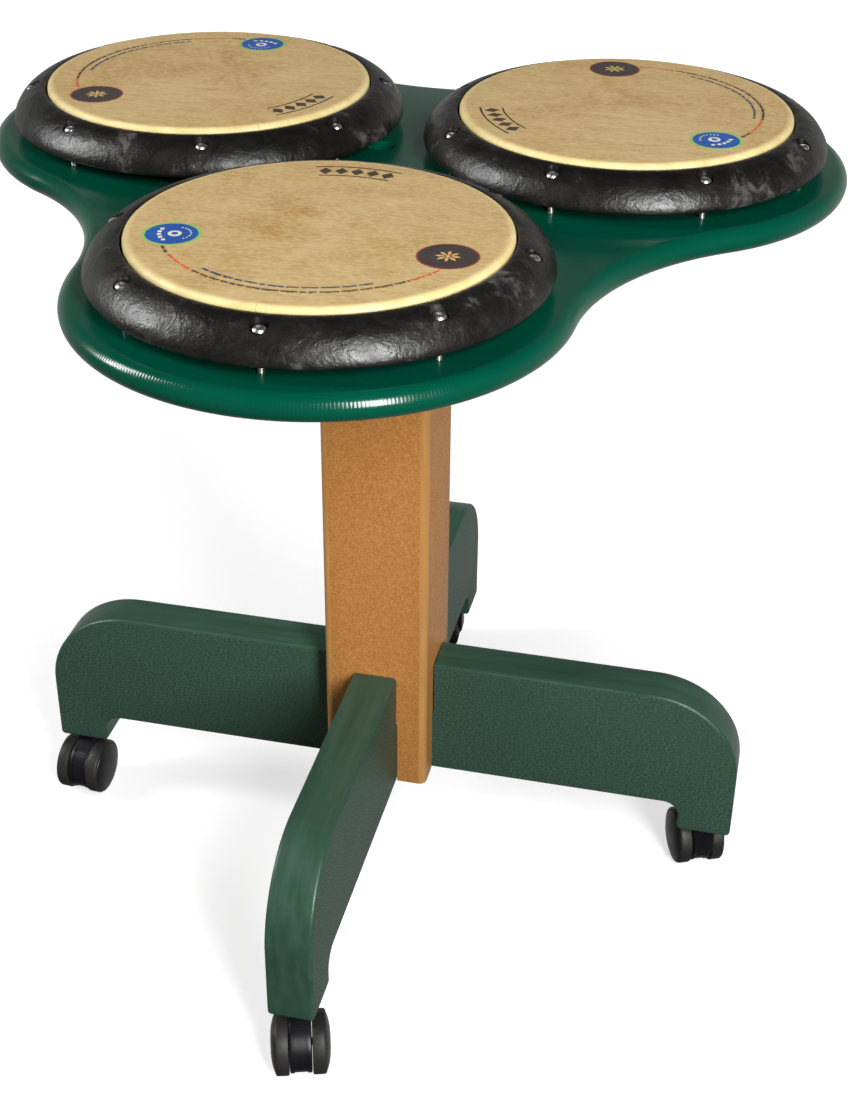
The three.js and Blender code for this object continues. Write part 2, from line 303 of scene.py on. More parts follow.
class Paint:
    """A node material under construction."""

    def __init__(self, name, roughness=0.5, metallic=0.0, specular=0.5):
        self.material = bpy.data.materials.new(name)
        self.material.use_nodes = True
        self.nodes = self.material.node_tree.nodes
        self.links = self.material.node_tree.links
        self.shader = self.nodes["Principled BSDF"]
        for socket, value in (("Roughness", roughness), ("Metallic", metallic),
                              ("Specular IOR Level", specular)):
            self.shader.inputs[socket].default_value = value
        self.coordinates = self.nodes.new("ShaderNodeTexCoord")

    def set(self, node, socket, value):
        if isinstance(value, bpy.types.NodeSocket):
            self.links.new(value, node.inputs[socket])
        else:
            node.inputs[socket].default_value = value

    def out(self, socket, value):
        self.set(self.shader, socket, value)

    def place(self, scale=(1, 1, 1), rotation=(0, 0, 0), source="Object"):
        mapping = self.nodes.new("ShaderNodeMapping")
        self.links.new(self.coordinates.outputs[source], mapping.inputs["Vector"])
        mapping.inputs["Scale"].default_value = scale
        mapping.inputs["Rotation"].default_value = rotation
        return mapping.outputs["Vector"]

    def noise(self, scale, detail=3.0, roughness=0.5, distortion=0.0, where=None):
        node = self.nodes.new("ShaderNodeTexNoise")
        self.set(node, "Vector", where or self.place())
        for socket, value in (("Scale", scale), ("Detail", detail), ("Roughness", roughness),
                              ("Distortion", distortion)):
            node.inputs[socket].default_value = value
        return node.outputs["Fac"]

    def ramp(self, value, *stops):
        """Colour ramp through (position, colour) stops."""
        node = self.nodes.new("ShaderNodeValToRGB")
        self.set(node, "Fac", value)
        while len(node.color_ramp.elements) < len(stops):
            node.color_ramp.elements.new(0.5)
        for element, (position, colour) in zip(node.color_ramp.elements, stops):
            element.position = position
            element.color = colour
        return node.outputs["Color"]

    def range(self, value, low, high, to_low=0.0, to_high=1.0):
        node = self.nodes.new("ShaderNodeMapRange")
        self.set(node, "Value", value)
        for socket, number in (("From Min", low), ("From Max", high),
                               ("To Min", to_low), ("To Max", to_high)):
            node.inputs[socket].default_value = number
        return node.outputs["Result"]

    def math(self, operation, a, b=0.0):
        node = self.nodes.new("ShaderNodeMath")
        node.operation = operation
        self.set(node, 0, a)
        self.set(node, 1, b)
        return node.outputs[0]

    def mix(self, factor, a, b, blend="MIX"):
        node = self.nodes.new("ShaderNodeMix")
        node.data_type = "RGBA"
        node.blend_type = blend
        self.set(node, 0, factor)
        self.set(node, 6, a)
        self.set(node, 7, b)
        return node.outputs[2]

    def bump(self, height, distance, strength=1.0, after=None):
        node = self.nodes.new("ShaderNodeBump")
        self.set(node, "Height", height)
        node.inputs["Distance"].default_value = distance
        node.inputs["Strength"].default_value = strength
        if after is not None:
            self.set(node, "Normal", after)
        return node.outputs["Normal"]

    def split(self, vector):
        node = self.nodes.new("ShaderNodeSeparateXYZ")
        self.set(node, 0, vector)
        return node.outputs


CUTTER_PITCH = 2.4 * MM


def green_sheet():
    """Dyed polyethylene sheet, with the router's regular cutter marks across its round edge."""
    paint = Paint("green_sheet", roughness=0.26, specular=0.4)
    cloud = paint.noise(9, detail=4)
    paint.out("Base Color", paint.ramp(cloud, (0.3, linear(0, 65, 48)), (0.7, linear(0, 74, 55))))
    paint.out("Roughness", paint.range(paint.noise(55, detail=5), 0.3, 0.7, 0.16, 0.23))
    skin = paint.bump(paint.noise(260, detail=2), 0.00004)
    along = paint.split(paint.place(source="UV"))[0]
    ripple = paint.math("SINE", paint.math("MULTIPLY", along, TURN / CUTTER_PITCH))
    strength = paint.range(paint.noise(30, detail=3), 0.35, 0.65, 0.35, 1.0)
    paint.out("Normal", paint.bump(paint.math("MULTIPLY", ripple, strength), 0.00003, after=skin))
    return paint.material


def lumber(name, dark, mid, light, grain, depth, roughness, stretch=(1, 1, 1)):
    """Recycled-plastic lumber as its rollers leave it: a fine leathery stipple."""
    paint = Paint(name, roughness=roughness, specular=0.3)
    stipple = paint.noise(grain, detail=2, roughness=0.6, where=paint.place(scale=stretch))
    patches = paint.noise(22, detail=5)
    speck = paint.ramp(stipple, (0.36, dark), (0.5, mid), (0.64, light))
    paint.out("Base Color", paint.mix(paint.range(patches, 0.3, 0.7, 0.0, 0.45), speck, mid))
    paint.out("Roughness", paint.range(stipple, 0.3, 0.7, roughness + 0.1, roughness - 0.12))
    paint.out("Normal", paint.bump(stipple, depth))
    return paint.material


def planed(name, dark, light, roughness, stretch):
    """The smooth corners and planed faces of the same lumber, with fine lengthwise streaks."""
    paint = Paint(name, roughness=roughness, specular=0.4)
    streaks = paint.noise(150, detail=5, roughness=0.6, where=paint.place(scale=stretch))
    paint.out("Base Color", paint.ramp(streaks, (0.3, dark), (0.7, light)))
    wear = paint.noise(38, detail=6)
    paint.out("Roughness", paint.range(wear, 0.3, 0.7, roughness - 0.08, roughness + 0.1))
    paint.out("Normal", paint.bump(streaks, 0.00005))
    return paint.material


def hoop_plastic():
    """Glossy near-black moulding with cloudy grey marbling and a fine fibrous skin."""
    paint = Paint("hoop_plastic", roughness=0.3, specular=0.5)
    cloud = paint.noise(15, detail=8, roughness=0.66, distortion=1.2)
    wisps = paint.noise(52, detail=10, roughness=0.8, distortion=0.8)
    marble = paint.math("MULTIPLY", cloud, wisps)
    paint.out("Base Color", paint.ramp(marble, (0.22, linear(14, 12, 10)), (0.31, linear(26, 24, 21)),
                                       (0.39, linear(80, 78, 75))))
    ripples = paint.noise(64, detail=2, roughness=0.5, distortion=0.5)
    streaks = paint.noise(330, detail=2, roughness=0.5, distortion=0.8)
    paint.out("Roughness", paint.range(ripples, 0.3, 0.7, 0.42, 0.32))
    broad = paint.bump(ripples, 0.0008)
    paint.out("Normal", paint.bump(streaks, 0.0003, after=broad))
    return paint.material


# Where along the film's profile its collar begins and where it is fully in: glossier there, and painted paler
# as a painted highlight.
COLLAR_STARTS = 121 * MM
COLLAR_FULL = 125.5 * MM
# How many fine creases cross each collar, each painted as a dark line of shade.
CREASE_SHADE_LINES = 7


def head_film():
    """Mottled skin-look film: streaked and stained on top, glossier round its rim, which is painted paler
    there as a painted highlight, and crossed by a few fine creases painted as dark lines of shade."""
    paint = Paint("head_film", roughness=0.5, specular=0.3)
    stain = paint.noise(13, detail=9, roughness=0.66, distortion=0.5)
    streak = paint.noise(30, detail=8, roughness=0.75, distortion=0.3, where=paint.place(scale=(1, 5, 1)))
    fleck = paint.noise(420, detail=4, roughness=0.75, where=paint.place(scale=(0.5, 1.5, 1)))
    turn, out_from_centre, _ = paint.split(paint.place(source="UV"))
    ground = paint.ramp(stain, (0.36, linear(158, 118, 62)), (0.46, linear(176, 144, 92)),
                        (0.58, linear(191, 166, 118)))
    worn = paint.mix(paint.range(out_from_centre, 0.03, 0.1, 0.0, 0.55), ground, linear(184, 158, 108))
    streaked = paint.mix(paint.range(streak, 0.44, 0.66, 0.0, 0.55), worn, linear(154, 114, 60))
    flecked = paint.mix(paint.range(fleck, 0.42, 0.62, 0.0, 0.62), streaked, linear(208, 184, 136))
    collar = paint.range(out_from_centre, COLLAR_STARTS, COLLAR_FULL)
    # painted highlight: the collar is painted paler and yellower all round, standing for the light its
    # rounded rim catches
    rim = paint.ramp(paint.noise(70, detail=5), (0.3, linear(206, 184, 124)), (0.7, linear(224, 206, 152)))
    wander = paint.noise(2.4, detail=0, where=turn)
    spaced = paint.math("FRACT", paint.math("MULTIPLY", paint.math("ADD", turn, wander), CREASE_SHADE_LINES))
    # painted shade: thin dark lines across the collar stand for the shade in the film's creases
    crease = paint.range(paint.math("ABSOLUTE", paint.math("SUBTRACT", spaced, 0.5)), 0.0, 0.004, 0.7, 0.0)
    crease_shaded = paint.mix(paint.math("MULTIPLY", crease, collar), paint.mix(collar, flecked, rim),
                        linear(120, 96, 40))
    paint.out("Base Color", crease_shaded)
    paint.out("Roughness", paint.range(collar, 0, 1, 0.58, 0.42))
    paint.out("Normal", paint.bump(fleck, 0.00006))
    return paint.material


def metal(name, colour, roughness):
    paint = Paint(name, roughness=roughness, metallic=1.0)
    grain = paint.noise(900, detail=2, where=paint.place(scale=(1, 1, 6)))
    dull = tuple(c * 0.86 for c in colour[:3]) + (1,)
    paint.out("Base Color", paint.ramp(grain, (0.3, dull), (0.7, colour)))
    paint.out("Roughness", paint.range(grain, 0.3, 0.7, roughness + 0.07, roughness - 0.05))
    paint.out("Normal", paint.bump(grain, 0.00002))
    return paint.material


def moulded(name, dark, light, roughness, grain=700, depth=0.00006):
    """Plain moulded plastic or rubber with a faint texture."""
    paint = Paint(name, roughness=roughness, specular=0.36)
    texture = paint.noise(grain, detail=3)
    worn = paint.noise(60, detail=5)
    paint.out("Base Color", paint.ramp(worn, (0.3, dark), (0.7, light)))
    paint.out("Roughness", paint.range(worn, 0.3, 0.7, roughness - 0.05, roughness + 0.08))
    paint.out("Normal", paint.bump(texture, depth))
    return paint.material


STIPPLE = 800  # noise scale of the lumber's stippled faces
GREEN_SHEET = green_sheet()
GREEN_LUMBER = lumber("green_lumber", linear(31, 52, 40), linear(46, 70, 57), linear(63, 88, 75),
                      STIPPLE, 0.0003, 0.5, (0.6, 1, 1))
PLANED_GREEN = planed("planed_green", linear(36, 63, 49), linear(49, 78, 64), 0.36, (0.06, 1, 0.3))
TAN_LUMBER = lumber("tan_lumber", linear(149, 95, 41), linear(165, 112, 56), linear(181, 130, 76),
                    STIPPLE, 0.0002, 0.5)
PLANED_TAN = planed("planed_tan", linear(163, 116, 60), linear(179, 132, 76), 0.42, (1, 1, 0.06))
HOOP_PLASTIC = hoop_plastic()
HEAD_FILM = head_film()
SHELL_PLASTIC = moulded("shell_plastic", linear(16, 16, 16), linear(24, 24, 24), 0.5)
STAINLESS = metal("stainless", (0.86, 0.84, 0.8, 1), 0.34)
ZINC = metal("zinc_steel", (0.5, 0.5, 0.48, 1), 0.36)
NYLON = moulded("caster_nylon", linear(11, 11, 13), linear(20, 20, 23), 0.34)
HUB = moulded("caster_hub", linear(11, 11, 11), linear(20, 19, 19), 0.34)
TREAD = moulded("caster_tread", linear(28, 27, 26), linear(39, 38, 36), 0.5, grain=500, depth=0.00012)
INK = moulded("ink_dark", linear(58, 46, 38), linear(78, 64, 52), 0.45)
INK_NAVY = moulded("ink_navy", linear(44, 56, 84), linear(62, 74, 100), 0.45)
INK_RED = moulded("ink_red", linear(190, 74, 52), linear(204, 96, 70), 0.45)
BLUE = moulded("sticker_blue", linear(24, 72, 148), linear(34, 84, 164), 0.4)
LIME = moulded("sticker_lime", linear(120, 172, 78), linear(140, 188, 96), 0.4)
CREAM = moulded("sticker_cream", linear(206, 204, 176), linear(222, 220, 194), 0.4)
SLATE = moulded("sticker_slate", linear(52, 46, 44), linear(66, 58, 54), 0.42)
MAROON = moulded("sticker_maroon", linear(128, 46, 46), linear(146, 60, 56), 0.42)
OCHRE = moulded("sticker_ochre", linear(186, 150, 84), linear(206, 172, 104), 0.42)


# ---- tabletop ------------------------------------------------------------------------
LOBE_R = 171.5 * MM
WAIST_R = 200 * MM
DRUM_AT = [middle(f"drumhead_{i}").xy for i in (1, 2, 3)]
OUTWARD = [(at - POST_AT.xy).normalized() for at in DRUM_AT]
SCREW_AT = {(i, k): middle(f"hoop_screw_{i}_{k}").xy
            for i in (1, 2, 3) for k in range(1, SCREWS_PER_DRUM + 1)}


def heading(vector):
    return math.atan2(vector.y, vector.x)


def trefoil():
    """Three lobes about the drum centres, joined by concave arcs tangent to both neighbours."""
    circle = sum((at - POST_AT.xy).length for at in DRUM_AT) / 3
    half_spacing = circle * math.sin(math.pi / 3)
    waist_at = circle / 2 + math.sqrt((LOBE_R + WAIST_R) ** 2 - half_spacing ** 2)
    step = math.radians(0.6)
    out = []
    for i in range(3):
        here, following = DRUM_AT[i], DRUM_AT[(i + 1) % 3]
        before = POST_AT.xy + (OUTWARD[i] + OUTWARD[i - 1]).normalized() * waist_at
        after = POST_AT.xy + (OUTWARD[i] + OUTWARD[(i + 1) % 3]).normalized() * waist_at
        start, end = heading(before - here), heading(after - here)
        out += arc(here, LOBE_R, start, start + (end - start) % TURN, step)[:-1]
        start, end = heading(here - after), heading(following - after)
        out += arc(after, WAIST_R, start, start - (start - end) % TURN, step)[:-1]
    return out


RECESS_AT = POST_AT.xy + Vector((-21, 69)) * MM
RECESS_R = 9 * MM
RECESS_CHAMFER = 2 * MM
RECESS_DEPTH = 12 * MM
SCREW_HOLE_R = 2.9 * MM


def tabletop():
    def circle(at, radius, count=24):
        return arc(at, radius, 0, TURN, TURN / count)[:-1]

    holes = [[(circle(at, SCREW_HOLE_R), TOP_Z), (circle(at, SCREW_HOLE_R), TOP_Z - 17 * MM)]
             for at in SCREW_AT.values()]
    holes.append([(circle(RECESS_AT, RECESS_R + RECESS_CHAMFER, 48), TOP_Z),
                  (circle(RECESS_AT, RECESS_R + 0.3 * MM, 48), TOP_Z - RECESS_CHAMFER),
                  (circle(RECESS_AT, RECESS_R, 48), TOP_Z - RECESS_CHAMFER - 0.3 * MM),
                  (circle(RECESS_AT, RECESS_R, 48), TOP_Z - RECESS_DEPTH)])
    return slab(trefoil(), TOP_Z - TOP_T, TOP_Z, TOP_T / 2, steps=10, holes=holes)


piece("top_sheet", tabletop(), [GREEN_SHEET], "root", ["tabletop"])


# ---- drums ---------------------------------------------------------------------------
SCREW_CIRCLE_R = (SCREW_AT[1, 1] - DRUM_AT[0]).length
SEAT = -10 * MM
GAP = 0.3 * MM


def drum_film():
    """Film, its rounded collar and the bead under the hoop, below z = 0."""
    crown = fillet([(0, 0, 0), (126.9 * MM, 0, 4.2 * MM), (127.4 * MM, -12.2 * MM, 0)], closed=False)
    below = [(131, -12.4), (131, -17.3), (126.3, -17.5), (125.4, -3.8), (121.5, -1.3), (0, -1.3)]
    inside = [Vector((0, 0)), *[crown[1] * k / 12 for k in range(1, 12)], *crown[1:]]
    return lathe([*inside, *[Vector(p) * MM for p in below]], 256)


def drum_hoop():
    outer = smooth_through([Vector(p) * MM for p in (
        (151.4, -28.3), (153.6, -27), (154.35, -25), (153.5, -21), (150.9, -16), (146.2, -10.2),
        (139.2, -5.2), (133.5, -3.2), (130.3, -2.9))], 5)
    profile = [Vector(p) * MM for p in ((128.2, -11.8), (131.6, -11.8), (131.6, -28.5), (150.6, -28.5))]
    profile += [*outer, Vector((129, -3.3)) * MM, Vector((128.4, -4.4)) * MM, profile[0]]
    ring = lathe(profile, 288)
    tools = []
    for k in range(SCREWS_PER_DRUM):
        angle = TURN * k / SCREWS_PER_DRUM
        at = (SCREW_CIRCLE_R * math.cos(angle), SCREW_CIRCLE_R * math.sin(angle))
        well = [(0, -40), (2.9, -40), (2.9, SEAT / MM), (5.7, SEAT / MM), (6, SEAT / MM + 0.3),
                (6, 5), (0, 5)]
        tools.append(moved(lathe([Vector(p) * MM for p in well], 40), Matrix.Translation((*at, 0))))
    return carve(ring, merged(*tools))


def drum_shell():
    foot = GAP / MM - DRUM_H / MM
    wall = [(116, foot, 0.4), (125, foot, 0.6), (124.4, -4.6, 2), (120.6, -2, 1.2), (116, -5.2, 1)]
    outline = fillet([(x * MM, y * MM, r * MM) for x, y, r in wall])
    return lathe([*outline, outline[0]], 192)


THREAD_PITCH = 0.8 * MM


def hoop_screw():
    """Button head with a hexagon socket and a rolled thread; z = 0 is the underside of the head."""
    tip = TOP_Z - 15.5 * MM - (HEAD_Z + SEAT)
    profile = [(0, tip), (1.5 * MM, tip)]
    ridges = int((-3 * MM - tip) / THREAD_PITCH)
    for k in range(ridges):
        z = tip + 0.8 * MM + k * THREAD_PITCH
        profile += [(2.0 * MM, z), (2.3 * MM, z + 0.35 * MM), (2.3 * MM, z + 0.45 * MM)]
    profile += [(2.3 * MM, -1.2 * MM), (2.3 * MM, GAP), (4.4 * MM, GAP), (4.7 * MM, GAP + 0.3 * MM)]
    dome = [(4.65, 0.9), (4.2, 1.9), (3.3, 2.65), (2.3, 3.0), (1.9, 3.05)]
    profile += [Vector(p) * MM for p in dome]
    profile.append((0, 3.05 * MM))
    return carve(lathe(profile, 48), rod(1.75 * MM, 1.3 * MM, 5 * MM, 6))


PRINT_RISE = 0.12 * MM


def flat_print(outline, rise=PRINT_RISE, base=0.0):
    """A thin patch of ink or vinyl lying on the film."""
    bm = bmesh.new()
    low = [bm.verts.new((*p, base)) for p in outline]
    high = [bm.verts.new((*p, base + rise)) for p in outline]
    bridge(bm, low, high)
    bm.faces.new(list(reversed(low)))
    bm.faces.new(high)
    bmesh.ops.recalc_face_normals(bm, faces=bm.faces)
    return bm


def band(r0, r1, start, end):
    """Outline of a curved bar between two radii and two angles in degrees."""
    a, b = math.radians(start), math.radians(end)
    step = math.radians(3)
    return arc((0, 0), r1, a, b, step) + arc((0, 0), r0, b, a, step)


def disc(at, radius):
    return arc(at, radius, 0, TURN, TURN / 72)[:-1]


def polar(radius, degrees):
    a = math.radians(degrees)
    return Vector((radius * math.cos(a), radius * math.sin(a)))


TICK = 1.0 * MM
TICK_PITCH = 1.3 * MM
TICK_HEIGHTS = (1.6, 1.9, 1.9, 2.5)  # mm
TICK_FOOT = 1 * MM  # how far inside their circle the marks start


def ticks(radius, start, end):
    """A line of fine upright marks of uneven height round the drumhead, broken into short groups."""
    marks = []
    pitch = math.degrees(TICK_PITCH / radius)
    half = math.degrees(TICK / radius) / 2
    angle = start
    while angle < end:
        for _ in range(dice.randint(3, 9)):
            if angle > end:
                break
            height = dice.choice(TICK_HEIGHTS) * MM
            foot = radius - TICK_FOOT
            marks.append(flat_print(band(foot, foot + height, angle - half, angle + half)))
            angle += pitch
        angle += pitch
    return merged(*marks)


RULES = ((94.5 * MM, 15), (111.5 * MM, 16))  # radius, half-angle in degrees
RULE_HALF = 0.7 * MM
LOZENGE_R, LOZENGE_STEP = 103 * MM, 6.2
LOZENGE_UP, LOZENGE_ACROSS = 6.2 * MM, 4.6 * MM


def lozenge_band():
    """Five lozenges between two plain rules, centred on the side nearest the post."""
    parts = []
    for radius, half in RULES:
        parts.append(flat_print(band(radius - RULE_HALF, radius + RULE_HALF, 180 - half, 180 + half)))
    for k in range(-2, 3):
        centre = polar(LOZENGE_R, 180 + k * LOZENGE_STEP)
        out, side = centre.normalized(), Vector((-centre.y, centre.x)).normalized()
        parts.append(flat_print([centre + out * LOZENGE_UP, centre + side * LOZENGE_ACROSS,
                                 centre - out * LOZENGE_UP, centre - side * LOZENGE_ACROSS]))
    return merged(*parts)


def layered(at, *layers):
    """A round label from (radius, rise) discs of different materials, stacked on one another."""
    parts = []
    base = 0.0
    for index, (radius, rise) in enumerate(layers):
        bm = flat_print(disc(at, radius), rise, base)
        for face in bm.faces:
            face.material_index = index
        parts.append(bm)
        base += rise
    return parts, base


MOTIF_RISE = 0.04 * MM  # how far a label's motif stands off it


def blue_label():
    """Blue disc in a lime rim: a pale roundel in the middle, a row of blocks below, dots above."""
    at = polar(95 * MM, -70)
    out, side = at.normalized(), Vector((-at.y, at.x)).normalized()
    parts, top = layered(at, (19.3 * MM, 0.1 * MM), (17.2 * MM, 0.04 * MM))
    pale = [flat_print(disc(at - out * 2 * MM, 4.6 * MM), MOTIF_RISE, top)]
    for k in range(-2, 3):
        middle_at = at + out * (8 - 0.6 * k * k) * MM + side * k * 4.6 * MM
        up, across = out * 1.3 * MM, side * 1.5 * MM
        block_outline = [middle_at + up - across, middle_at - up - across,
                         middle_at - up + across, middle_at + up + across]
        pale.append(flat_print(block_outline, MOTIF_RISE, top))
    for k in range(-4, 5):
        dot_at = at - out * 2 * MM + polar(10.5 * MM, 110 + k * 15)
        pale.append(flat_print(disc(dot_at, 0.7 * MM), MOTIF_RISE, top))
    for bm in pale:
        for face in bm.faces:
            face.material_index = 2
    hub = flat_print(disc(at - out * 2 * MM, 2.2 * MM), 0.03 * MM, top + MOTIF_RISE)
    for face in hub.faces:
        face.material_index = 1
    return merged(*parts, *pale, hub)


def dark_label():
    at = polar(95 * MM, 72)
    parts, top = layered(at, (20.2 * MM, 0.1 * MM), (18.9 * MM, 0.04 * MM))
    petals = 8
    for k in range(petals):
        a = 360 * k / petals
        leaf = [at + polar(2.6 * MM, a - 16), at + polar(6 * MM, a - 12), at + polar(8.6 * MM, a),
                at + polar(6 * MM, a + 12), at + polar(2.6 * MM, a + 16)]
        parts.append(flat_print(leaf, 0.04 * MM, top))
    parts.append(flat_print(disc(at, 1.7 * MM), 0.04 * MM, top))
    for bm in parts[2:]:
        for face in bm.faces:
            face.material_index = 2
    return merged(*parts)


PRINTS = {
    "lozenges": (lozenge_band, [INK]),
    "dark_ticks": (lambda: merged(ticks(103.5 * MM, -34, 46), ticks(103.5 * MM, -59, -52)), [INK]),
    "navy_ticks": (lambda: ticks(97 * MM, -33, 34), [INK_NAVY]),
    "red_ticks": (lambda: merged(ticks(103.5 * MM, -51, -35), ticks(103.5 * MM, 47, 60)), [INK_RED]),
    "blue_label": (blue_label, [LIME, BLUE, CREAM]),
    "dark_label": (dark_label, [MAROON, SLATE, OCHRE]),
}

hoop_mesh = mesh_from(drum_hoop(), "hoop_shape")
screw_mesh = None
for drum in (1, 2, 3):
    facing = Matrix.Rotation(heading(OUTWARD[drum - 1]), 4, "Z")
    to_drum = Matrix.Translation((*DRUM_AT[drum - 1], HEAD_Z)) @ facing
    parts = {
        "film": (drum_film(), HEAD_FILM, "head_film", "drumhead"),
        "shell": (drum_shell(), SHELL_PLASTIC, "shell_plastic", "drum_shell"),
    }
    for label, (solid, material, slot, node) in parts.items():
        piece(f"{label}_{drum}", moved(solid, to_drum), [material], "root", [f"{node}_{drum}"])
    ring = bmesh.new()
    ring.from_mesh(hoop_mesh)
    piece(f"ring_{drum}", moved(ring, to_drum), [HOOP_PLASTIC], "root",
          [f"hoop_{drum}"], crease=40)
    for label, (make, materials) in PRINTS.items():
        piece(f"{label}_{drum}", moved(make(), to_drum), materials, "root")
    for k in range(1, SCREWS_PER_DRUM + 1):
        spin = Matrix.Rotation(math.radians(37 * k + 11 * drum), 4, "Z")
        at = Matrix.Translation((*SCREW_AT[drum, k], HEAD_Z + SEAT)) @ spin
        made = piece(f"tension_screw_{drum}_{k}", screw_mesh or hoop_screw(), [STAINLESS], "root",
                     [f"hoop_screw_{drum}_{k}"], at)
        screw_mesh = made.data


# ---- post, plate and legs ------------------------------------------------------------
def square_outline(width, radius):
    h = width / 2
    return fillet([(-h, -h, radius), (h, -h, radius), (h, h, radius), (-h, h, radius)])


POST_LOW, POST_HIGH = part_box("post")
POST_W = POST_HIGH.x - POST_LOW.x
PLANK_LOW, PLANK_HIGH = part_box("leg_left_right")
PLANK_T = PLANK_HIGH.y - PLANK_LOW.y
FOOT_END = (PLANK_HIGH.x - PLANK_LOW.x) / 2
FOOT_Z = PLANK_LOW.z
LEG_TOP_Z = PLANK_HIGH.z
UNDER_Z = POST_LOW.z
LAP_Z = 145 * MM
LEG_END_R = 76 * MM
FOOT_W = 46 * MM
FILLET_R = 14 * MM
TOE_R = 4 * MM
STEM_HOLE_R = 6 * MM
BOLT_R = 4.3 * MM


def post():
    half = PLANK_T / 2 + 0.5 * MM
    column = slab(square_outline(POST_W, 6.35 * MM), UNDER_Z, POST_HIGH.z, 0.8 * MM, steps=3)
    slot_top = LAP_Z + GAP
    column = carve(column, block(-0.1, 0.1, -half, half, 0, slot_top))
    column = carve(column, block(-half, half, -0.1, 0.1, 0, slot_top))
    bores = merged(rod(BOLT_R, slot_top - 5 * MM, slot_top + 61 * MM),
                   rod(BOLT_R, POST_HIGH.z - 61 * MM, POST_HIGH.z + 5 * MM))
    column = carve(column, bores)
    for face in column.faces:
        flat = max(abs(face.normal.x), abs(face.normal.y)) > 0.999
        face.material_index = 0 if flat else 1
    return column


to_post = Matrix.Translation((*POST_AT.xy, 0))
piece("square_post", post(), [TAN_LUMBER, PLANED_TAN], "root", ["post"], to_post)


def plank(lap_low, lap_high, counterbore):
    """One leg along X with its middle at the origin, its notch, its half of the lap and its bores."""
    inner = FOOT_END - FOOT_W
    corners = [(-inner, UNDER_Z, FILLET_R), (inner, UNDER_Z, FILLET_R), (inner, FOOT_Z, TOE_R),
               (FOOT_END, FOOT_Z, TOE_R), (FOOT_END, LEG_TOP_Z, LEG_END_R), (-FOOT_END, LEG_TOP_Z, LEG_END_R),
               (-FOOT_END, FOOT_Z, TOE_R), (-inner, FOOT_Z, TOE_R)]
    board = slab(fillet(corners, step=math.radians(4)), -PLANK_T / 2, PLANK_T / 2, 3 * MM, steps=5)
    board = moved(board, Matrix.Rotation(math.pi / 2, 4, "X"))
    notch = POST_W / 2 + 1.2 * MM
    lap = PLANK_T / 2 + 0.4 * MM
    board = carve(board, block(-notch, notch, -0.05, 0.05, LAP_Z, 0.3))
    board = carve(board, block(-lap, lap, -0.05, 0.05, lap_low, lap_high))
    stem_at = joint("right_swivel")["pos_m"][0] - POST_AT.x
    bores = [rod(STEM_HOLE_R, FOOT_Z - 5 * MM, FOOT_Z + 36 * MM, at=(side * stem_at, 0)) for side in (-1, 1)]
    bores.append(rod(BOLT_R, 0, 0.3))
    board = carve(board, merged(*bores))
    if counterbore:
        board = carve(board, rod(12 * MM, 0, UNDER_Z + 8 * MM))
    for face in board.faces:
        face.material_index = 0 if abs(face.normal.y) > 0.9 else 1
    return board


lap_middle = (UNDER_Z + LAP_Z) / 2
piece("plank_left_right", plank(lap_middle, LAP_Z + 5 * MM, True), [GREEN_LUMBER, PLANED_GREEN], "root",
      ["leg_left_right"], to_post)
piece("plank_front_back", plank(0, lap_middle + GAP, False), [GREEN_LUMBER, PLANED_GREEN], "root",
      ["leg_front_back"], to_post @ Matrix.Rotation(math.pi / 2, 4, "Z"))


def fitting_plate():
    low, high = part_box("mounting_plate")
    plate = slab(square_outline(high.x - low.x, 12 * MM), low.z, high.z, 0.6 * MM, steps=3)
    corners = [middle(f"plate_screw_{k}").xy - POST_AT.xy for k in (1, 2, 3, 4)]
    tools = [rod(2.8 * MM, low.z - 0.01, high.z + 0.01, at=at) for at in corners]
    sink = [(0, -10), (4.5, -10), (4.5, -4), (9.1, 0.6), (0, 0.6)]
    tools.append(moved(lathe([Vector(p) * MM for p in sink], 48), Matrix.Translation((0, 0, high.z))))
    return moved(carve(plate, merged(*tools)), to_post)


piece("fitting_plate", fitting_plate(), [ZINC], "root", ["mounting_plate"])


def pan_screw():
    """Its head hangs below z = 0, with a square drive socket."""
    head = [(0, -3), (2.6, -2.95), (4.1, -2.3), (4.8, -1.1), (4.9, 0), (2.2, 0), (2.2, 14.5), (0, 17)]
    return carve(lathe([Vector(p) * MM for p in head], 40), rod(1.9 * MM, -5 * MM, -1.2 * MM, 4))


pan_mesh = None
for k in (1, 2, 3, 4):
    at = Matrix.Translation((*middle(f"plate_screw_{k}").xy, POST_HIGH.z))
    made = piece(f"pan_screw_{k}", pan_mesh or pan_screw(), [ZINC], "root",
                 [f"plate_screw_{k}"], at)
    pan_mesh = made.data


def long_bolt(node, head):
    """A lathe-turned bolt that fills its CAD node's height; head is its profile above the shank."""
    low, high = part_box(node)
    return moved(carve(lathe(head(low.z, high.z), 48), rod(2.9 * MM, high.z - 2.5 * MM, high.z + 5 * MM, 6)),
                 to_post)


def sunk_profile(low, high):
    return [(0, low), (3.4 * MM, low), (4 * MM, low + 0.6 * MM), (4 * MM, high - 3.6 * MM), (7.6 * MM, high),
            (0, high)]


piece("sunk_bolt", long_bolt("plate_bolt", sunk_profile), [ZINC], "root", ["plate_bolt"])


def flange_bolt():
    low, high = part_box("leg_bolt")
    z = low.z
    profile = [(0, z), (8.6 * MM, z), (9 * MM, z + 0.4 * MM), (9 * MM, z + 4 * MM), (11 * MM, z + 4.6 * MM),
               (11 * MM, z + 6 * MM), (4 * MM, z + 6 * MM), (4 * MM, high.z - 0.6 * MM), (3.4 * MM, high.z),
               (0, high.z)]
    return moved(carve(lathe(profile, 48), rod(3.4 * MM, z - 5 * MM, z + 3 * MM, 6)), to_post)


piece("flange_bolt", flange_bolt(), [ZINC], "root", ["leg_bolt"])


# ---- casters -------------------------------------------------------------------------
TRAIL = 17.8 * MM
WHEEL_R = 25 * MM
BODY_R = 23.4 * MM
BODY_HALF = 8.7 * MM


